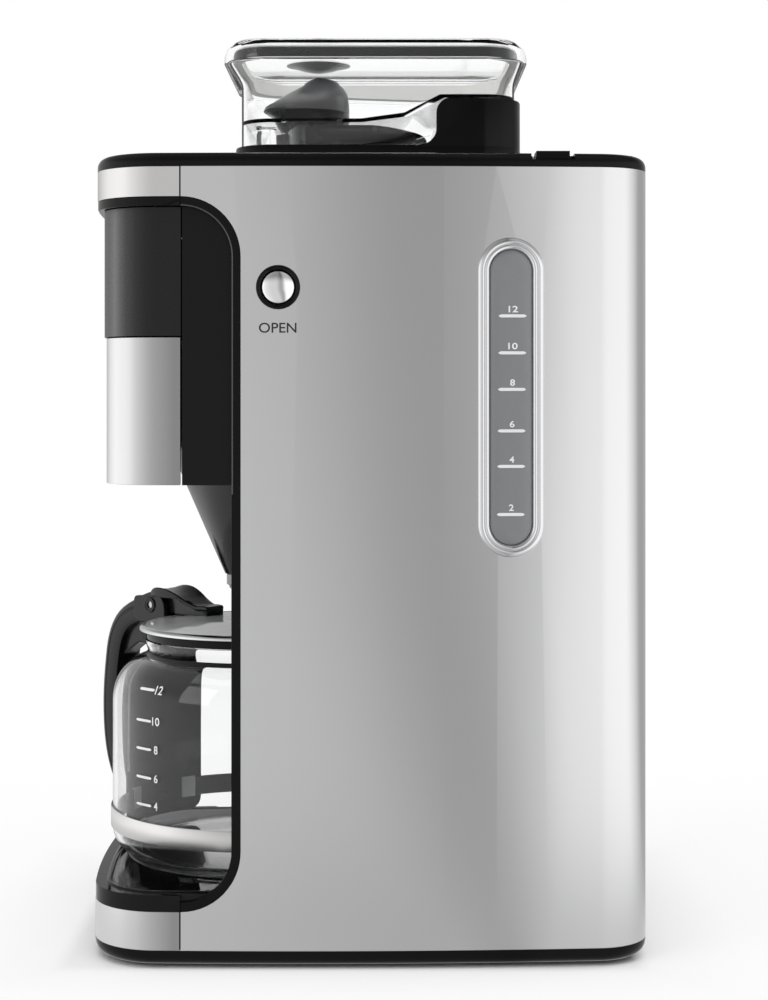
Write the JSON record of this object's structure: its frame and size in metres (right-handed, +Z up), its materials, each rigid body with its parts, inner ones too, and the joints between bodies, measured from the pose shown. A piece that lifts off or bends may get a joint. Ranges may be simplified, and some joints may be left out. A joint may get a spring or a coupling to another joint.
{
  "type": "drip coffee maker",
  "caption": "Upright drip coffee maker with a bean grinder and clear hopper on top, a swing-out filter door, a rear water tank with a level window, and a glass carafe on a warming plate.",
  "frame": {"origin": "on the ground under the middle of the whole outline, carafe handle included", "axes": "+Z up, -Y out of the front where the carafe comes out, +X towards the side with the OPEN button and the level window"},
  "size_m": [0.2072, 0.2957, 0.457],
  "materials": {
    "steel_brushed": "fine horizontal brushing",
    "black_gloss": "gloss",
    "black_moulded": "satin",
    "chrome_parts": "polished",
    "clear_plastic": "clear, polished",
    "carafe_glass": "clear, polished",
    "window_grey": "grey tinted",
    "tank_plastic": "translucent",
    "rubber": "matt",
    "silicone": "matt",
    "plain_steel": "plain",
    "burr_steel": "ground",
    "board_green": "satin",
    "display_glass": "gloss, tinted",
    "mesh_gold": "gold coloured mesh",
    "plate_black": "non-stick coating",
    "white_plastic": "satin"
  },
  "bodies": {
    "housing": {"base_pan": "black_moulded", "rubber_feet": "rubber", "body_shell": "steel_brushed", "front_band_lower": "steel_brushed", "front_band_upper": "steel_brushed", "base_deck": "black_gloss", "warming_plate": "plate_black", "heater_tube": "plain_steel", "bay_liner": "black_gloss", "side_trim_right": "black_gloss", "side_trim_left": "black_gloss", "head_frame": "black_moulded", "head_plate": "black_gloss", "control_panel": "black_gloss", "display_window": "display_glass", "control_board": "board_green", "top_cap": "black_gloss", "water_tank": "tank_plastic", "riser_hose": "silicone", "shower_head": "white_plastic", "grinder_motor": "plain_steel", "gearbox": "black_moulded", "burr_chamber": "black_moulded", "ring_burr": "burr_steel", "grounds_chute": "black_moulded", "hopper_plinth": "black_gloss", "gauge_frame": "steel_brushed", "gauge_window": "window_grey", "open_button_ring": "black_gloss", "door_hinge_pin": "plain_steel", "tank_lid_pin": "plain_steel", "base_screws": "plain_steel", "cord_gland": "rubber"},
    "door": {"door_cover": "steel_brushed", "door_carrier": "black_moulded", "filter_basket": "black_gloss", "mesh_filter": "mesh_gold", "valve_seat": "white_plastic", "valve_spring": "plain_steel"},
    "drip_valve": {"drip_valve": "black_moulded"},
    "open_button": {"open_button": "chrome_parts", "latch_bar": "white_plastic"},
    "key_power": {"key_power": "black_moulded"},
    "key_grind": {"key_grind": "black_moulded"},
    "key_strength": {"key_strength": "black_moulded"},
    "key_cups": {"key_cups": "black_moulded"},
    "tank_lid": {"tank_lid": "black_gloss"},
    "hopper": {"hopper_body": "clear_plastic", "hopper_guide": "black_moulded"},
    "hopper_lid": {"hopper_lid": "clear_plastic", "lid_gasket": "rubber"},
    "burr": {"cone_burr": "burr_steel"},
    "carafe": {"carafe_glass": "carafe_glass", "carafe_band": "steel_brushed", "carafe_collar": "black_moulded", "carafe_handle": "black_gloss", "handle_screws": "plain_steel", "lid_pin": "plain_steel"},
    "carafe_lid": {"carafe_lid": "clear_plastic", "lid_lever": "black_gloss"}
  },
  "joints": [
    {"name": "door_swing", "type": "hinge", "parent": "housing", "child": "door", "pos_m": [-0.0915, -0.0874, 0.27], "axis": [0, 0, -1], "range_deg": [0, 90]},
    {"name": "valve_lift", "type": "slide", "parent": "door", "child": "drip_valve", "axis": [0, 0, 1], "range_m": [0, 0.0025], "stiffness_N_per_m": 150, "deforming": ["valve_spring"]},
    {"name": "open_press", "type": "slide", "parent": "housing", "child": "open_button", "axis": [-1, 0, 0], "range_m": [0, 0.003], "stiffness_N_per_m": 400},
    {"name": "key_power_press", "type": "slide", "parent": "housing", "child": "key_power", "axis": [0, 1, 0], "range_m": [0, 0.0012], "stiffness_N_per_m": 400},
    {"name": "key_grind_press", "type": "slide", "parent": "housing", "child": "key_grind", "axis": [0, 1, 0], "range_m": [0, 0.0012], "stiffness_N_per_m": 400},
    {"name": "key_strength_press", "type": "slide", "parent": "housing", "child": "key_strength", "axis": [0, 1, 0], "range_m": [0, 0.0012], "stiffness_N_per_m": 400},
    {"name": "key_cups_press", "type": "slide", "parent": "housing", "child": "key_cups", "axis": [0, 1, 0], "range_m": [0, 0.0012], "stiffness_N_per_m": 400},
    {"name": "tank_lid_hinge", "type": "hinge", "parent": "housing", "child": "tank_lid", "pos_m": [-0.083, 0.115, 0.3932], "axis": [0, -1, 0], "range_deg": [0, 85]},
    {"name": "hopper_lift", "type": "slide", "parent": "housing", "child": "hopper", "axis": [0, 0, 1], "range_m": [0, 0.06]},
    {"name": "hopper_lid_lift", "type": "slide", "parent": "hopper", "child": "hopper_lid", "axis": [0, 0, 1], "range_m": [0, 0.05]},
    {"name": "burr_spin", "type": "hinge", "parent": "housing", "child": "burr", "pos_m": [0, -0.022, 0.35], "axis": [0, 0, 1], "continuous": true},
    {"name": "carafe_slide", "type": "slide", "parent": "housing", "child": "carafe", "axis": [0, -1, 0], "range_m": [0, 0.22]},
    {"name": "carafe_lid_hinge", "type": "hinge", "parent": "carafe", "child": "carafe_lid", "pos_m": [-0.04628, -0.10766, 0.1615], "axis": [0.766, -0.6428, 0], "range_deg": [0, 8]}
  ]
}
